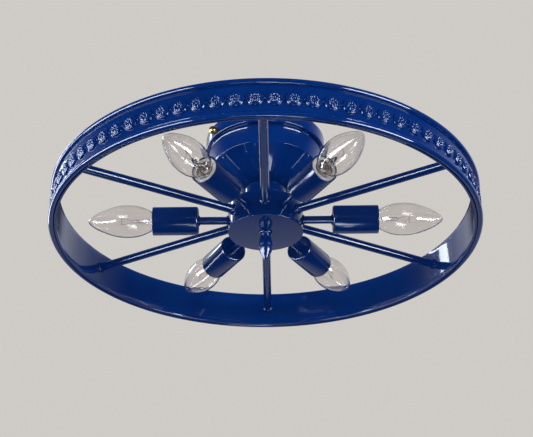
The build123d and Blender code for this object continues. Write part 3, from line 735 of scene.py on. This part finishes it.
def filament():
    def lead(side):
        bends = [(1.0, LEAD_FOOT - 18), (1.0, LEAD_FOOT + 1), (2.0, LEAD_FOOT + 4), (COIL_HALF, LEAD_TOP)]
        return wire([(side * x, 0, h) for x, h in bends], 0.22)

    support = wire([(0, 0.3, LEAD_FOOT + 0.5), (0, 0.9, LEAD_FOOT + 5), (0, 1.6, LEAD_TOP + 0.3)], 0.12)
    coil = []
    count = COIL_TURNS * COIL_STEPS
    for k in range(count + 1):
        t = k / count
        a = 2 * math.pi * COIL_TURNS * t
        bow = COIL_BOW * math.sin(math.pi * t)
        x = -COIL_HALF + 2 * COIL_HALF * t
        coil.append((x, bow + COIL_R * math.cos(a), LEAD_TOP + 0.1 + COIL_R * math.sin(a)))
    return merge(lead(-1), lead(1), support, wire(coil, 0.07, 5))


# Bulb caps, with heights from the cap's edge or from its end
CAP_END = CAP_EDGE - 25.0
CAP_CORE_R, CAP_THREAD, CAP_STEPS = 6.45, 0.46, 84
CAP_SKIRT = [(7.1, -4.4), (8.1, -3.2), (8.35, -2.8), (8.35, -0.1), (8.2, 0.0), (7.75, 0.0), (7.72, -2.0)]


def cap():
    """Threaded cap with its skirt."""
    start, stop = CAP_END + 5.6, CAP_EDGE - 5.2
    profile = from_edge(CAP_END, [(5.3, 3.5), (6.3, 4.6)])
    for k in range(CAP_STEPS + 1):
        profile.append((CAP_CORE_R, start + (stop - start) * k / CAP_STEPS))
    profile += from_edge(CAP_EDGE, CAP_SKIRT)

    def thread(r, h, a):
        if start <= h <= stop and r == CAP_CORE_R:
            fade = min(1.0, h - start, stop - h)
            return r + CAP_THREAD * fade * (0.5 + 0.5 * math.sin(2 * math.pi * h / CAP_PITCH - a)), h
        return r, h

    return lathe(profile, 48, radius_at=thread)


glass_mesh = bulb_glass()
filament_mesh = filament()
cap_mesh = cap()
cement_mesh = lathe(from_edge(CAP_EDGE, [(7.7, -1.6), (7.0, -2.0), (4.0, -2.1), (0.0, -2.1)]), 48)
foot_mesh = lathe(from_edge(CAP_END, [(5.35, 3.55), (4.6, 2.9), (2.9, 1.9), (2.7, 1.6)]), 32)
contact_mesh = lathe(from_edge(CAP_END, [(2.7, 1.7), (2.55, 0.9), (1.9, 0.2), (0.9, 0.02), (0.0, 0.0)]), 24)
for i in range(LAMPS):
    a = LAMP_STEP * i
    n = i + 1
    body = f"bulb_{n}"
    piece(f"candle_glass_{n}", out_at(glass_mesh, a), f"bulb_glass_{n}", body, GLASS)
    piece(f"candle_filament_{n}", out_at(filament_mesh, a), f"filament_{n}", body, WIRE)
    parts = [
        (out_at(cap_mesh, a), CAP_METAL),
        (out_at(cement_mesh, a), CEMENT),
        (out_at(foot_mesh, a), DARK_INSULATOR_AND_SHADE),
        (out_at(contact_mesh, a), CAP_METAL),
    ]
    joined(f"candle_cap_{n}", parts, f"bulb_cap_{n}", body)

# Ball-headed screws through the pan's wall into the strap
SCREW_ANGLES = (216.0, 36.0)
SCREW_Z = -10.1
SCREW_SHANK = [(0, 53.0), (1.1, 53.0), (1.7, 53.9), (1.7, 65.1), (3.1, 65.1), (3.35, 65.3)]
BALL_R, BALL_AT = 4.55, 69.2

ball_profile = arc(0, BALL_AT, BALL_R, -54, 90, 24)
ball_profile[-1] = (0.0, BALL_AT + BALL_R)
screw_mesh = lathe(SCREW_SHANK + ball_profile, 72)
for n, angle in enumerate(SCREW_ANGLES, start=1):
    mesh = out_at(screw_mesh, angle, SCREW_Z)
    piece(f"canopy_thumb_screw_{n}", mesh, f"canopy_screw_{n}", f"canopy_screw_{n}", BRASS)

# Threaded rod down the middle
ROD_BOTTOM, ROD_TOP, ROD_PITCH, ROD_BEVEL = -123.9, -54.4, 1.0, 0.3
ROD_CORE_R, ROD_BORE_R, ROD_THREAD, ROD_STEPS = 3.62, 2.6, 0.36, 420


def threaded_rod():
    top, bottom = ROD_TOP - ROD_BEVEL, ROD_BOTTOM + ROD_BEVEL
    profile = [(ROD_BORE_R, ROD_TOP - 0.05), (3.7, ROD_TOP)]
    for k in range(ROD_STEPS + 1):
        profile.append((ROD_CORE_R, top + (bottom - top) * k / ROD_STEPS))
    profile += [(3.6, ROD_BOTTOM), (ROD_BORE_R, ROD_BOTTOM)]

    def thread(r, h, a):
        if r == ROD_CORE_R:
            return r + ROD_THREAD * (0.5 + 0.5 * math.sin(2 * math.pi * h / ROD_PITCH - a)), h
        return r, h

    return lathe(profile, 40, closed=True, radius_at=thread)


piece("centre_threaded_rod", threaded_rod(), "centre_rod", "fixture", ZINC, smooth=50)

# Nodes that keep their solids
for name, material in (
    ("crossbar", ZINC),
    ("terminal_block", WHITE_PLASTIC),
    ("lock_nuts", ZINC),
    ("hub_connector", WHITE_PLASTIC),
    ("wiring_leads", LEAD_PLASTIC),
):
    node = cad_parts[name]
    node.data.materials.clear()
    node.data.materials.append(material)

# Lamps, in metres and watts, all turned to the middle of the fixture
CENTRE = Vector((0, 0, -0.09))
GLEAM_COLOUR = (0.80, 0.89, 1.0)


def lamp(name, where, width, height, power, gleam=False):
    """Soft lamp that lights the paint, or, as a gleam, one that only shows as a highlight."""
    data = bpy.data.lights.new(name, "AREA")
    data.shape = "RECTANGLE"
    data.size = width
    data.size_y = height
    data.energy = power
    if gleam:
        data.color = GLEAM_COLOUR
    obj = bpy.data.objects.new(name, data)
    bpy.context.scene.collection.objects.link(obj)
    obj.location = where
    obj.rotation_mode = "QUATERNION"
    obj.rotation_quaternion = (CENTRE - Vector(where)).to_track_quat("-Z", "Y")
    obj.visible_camera = False
    obj.visible_diffuse = not gleam
    obj.visible_glossy = gleam


def towards(azimuth, elevation, distance):
    a, e = math.radians(azimuth), math.radians(elevation)
    return CENTRE + Vector((math.cos(a) * math.cos(e), math.sin(a) * math.cos(e), math.sin(e))) * distance


lamp("left_soft", towards(206, 0, 1.95), 2.25, 0.4, 20)
lamp("left_back", towards(150, 3, 1.9), 1.4, 0.4, 6)
lamp("right_soft", towards(328, 0, 1.95), 1.1, 0.4, 20)
lamp("low_soft", (0.0, -0.6, -1.6), 0.5, 0.9, 6)
lamp("left_gleam", towards(206, -15, 1.95), 2.25, 0.7, 85, gleam=True)
lamp("back_gleam", towards(155, -3, 1.9), 1.5, 0.35, 20, gleam=True)
lamp("right_gleam", towards(324.5, -17, 1.95), 1.15, 0.7, 55, gleam=True)
lamp("high_gleam", towards(141, 34, 2.0), 0.28, 0.6, 4.5, gleam=True)
lamp("low_gleam", (0.2, -0.5, -1.65), 0.3, 0.4, 2.4, gleam=True)
lamp("front_gleam", (0.03, -0.72, -1.6), 0.2, 0.3, 2.2, gleam=True)
lamp("cup_gleam_left", (-0.21, -0.85, -1.4), 0.24, 0.1, 0.6, gleam=True)
lamp("cup_gleam_right", (0.205, 0.0, -1.65), 0.17, 0.1, 0.5, gleam=True)

# World: a pale backdrop for the camera and the glass, a plain fill for the paint, and what the paint mirrors
BACKDROP_COLOUR = (0.62, 0.60, 0.57, 1)
FILL_COLOUR = (1, 1, 1, 1)
MIRROR_COLOUR = (0.94, 0.96, 1.0, 1)

world = bpy.data.worlds.new("surround")
bpy.context.scene.world = world
world.use_nodes = True
tree = world.node_tree
tree.nodes.clear()
world_output = tree.nodes.new("ShaderNodeOutputWorld")
rays = tree.nodes.new("ShaderNodeLightPath").outputs
direction = tree.nodes.new("ShaderNodeSeparateXYZ")
tree.links.new(tree.nodes.new("ShaderNodeTexCoord").outputs["Generated"], direction.inputs["Vector"])


def world_range(source, start, end, low, high):
    """Smooth step between two values of a direction's coordinate."""
    r = tree.nodes.new("ShaderNodeMapRange")
    r.interpolation_type = "SMOOTHSTEP"
    for socket, value in (("From Min", start), ("From Max", end), ("To Min", low), ("To Max", high)):
        r.inputs[socket].default_value = value
    tree.links.new(source, r.inputs["Value"])
    return r.outputs["Result"]


def world_math(operation, *values):
    m = tree.nodes.new("ShaderNodeMath")
    m.operation = operation
    for socket, value in zip(m.inputs, values):
        if isinstance(value, float):
            socket.default_value = value
        else:
            tree.links.new(value, socket)
    return m.outputs["Value"]


def background(colour, strength=None):
    b = tree.nodes.new("ShaderNodeBackground")
    b.inputs["Color"].default_value = colour
    if strength is not None:
        tree.links.new(strength, b.inputs["Strength"])
    return b.outputs["Background"]


def mixed(share, first, second):
    m = tree.nodes.new("ShaderNodeMixShader")
    tree.links.new(share, m.inputs["Fac"])
    tree.links.new(first, m.inputs[1])
    tree.links.new(second, m.inputs[2])
    return m.outputs["Shader"]


# the paint mirrors a dim surround low down behind, a brighter one higher up, and darkness in front
behind = world_range(direction.outputs["Y"], 0.58, 0.86, 0.001, 0.33)
aside = world_range(direction.outputs["Y"], -0.1, 0.85, 0.001, 0.62)
width = world_range(world_math("ABSOLUTE", direction.outputs["X"]), 0.10, 0.42, 0.06, 1.0)
above = world_range(direction.outputs["Z"], -0.25, 0.15, 0.0, 1.0)
upper = world_math("MULTIPLY", world_math("MULTIPLY", aside, width), above)
lower = world_math("MULTIPLY", behind, world_math("SUBTRACT", 1.0, above))
mirrored = background(MIRROR_COLOUR, world_math("ADD", upper, lower))
fill = background(FILL_COLOUR, world_range(direction.outputs["Z"], -0.5, 0.5, 0.22, 0.85))
seen = world_math("MAXIMUM", rays["Is Camera Ray"], rays["Is Transmission Ray"])
surround = mixed(seen, mixed(rays["Is Glossy Ray"], fill, mirrored), background(BACKDROP_COLOUR))
tree.links.new(surround, world_output.inputs["Surface"])

# Camera at the photograph's angle: 29.65 degrees below the horizon, 1.31 m from the wheel.
# The eye is in metres. Pitch, heading and roll turn the view a little, as fitted to the photograph's outline.
EYE = Vector((0.01105, -1.14041, -0.74858))
PITCH, HEADING, ROLL = math.radians(0.085), math.radians(0.045), math.radians(0.308)
PHOTO_WIDTH_PIXELS = 533
FOCAL_PIXELS = 1225
SENSOR_MM = 36
SKYWARD = Vector((0, 0, 1))

forward = (Vector((0, 0, WHEEL_Z * MM)) - EYE).normalized()
right = forward.cross(SKYWARD).normalized()
up = right.cross(forward)
forward = (forward + up * math.tan(PITCH) + right * math.tan(HEADING)).normalized()
right = forward.cross(SKYWARD).normalized()
up = right.cross(forward)
up = (up * math.cos(ROLL) + right * math.sin(ROLL)).normalized()
right = forward.cross(up)
camera_data = bpy.data.cameras.new("camera")
camera_data.sensor_width = SENSOR_MM
camera_data.lens = FOCAL_PIXELS / PHOTO_WIDTH_PIXELS * SENSOR_MM
camera_data.clip_start = 0.05
camera_data.clip_end = 50
camera = bpy.data.objects.new("camera", camera_data)
bpy.context.scene.collection.objects.link(camera)
camera.matrix_world = Matrix.Translation(EYE) @ Matrix((right, up, -forward)).transposed().to_4x4()
bpy.context.scene.camera = camera

bpy.context.scene.view_settings.view_transform = "Standard"
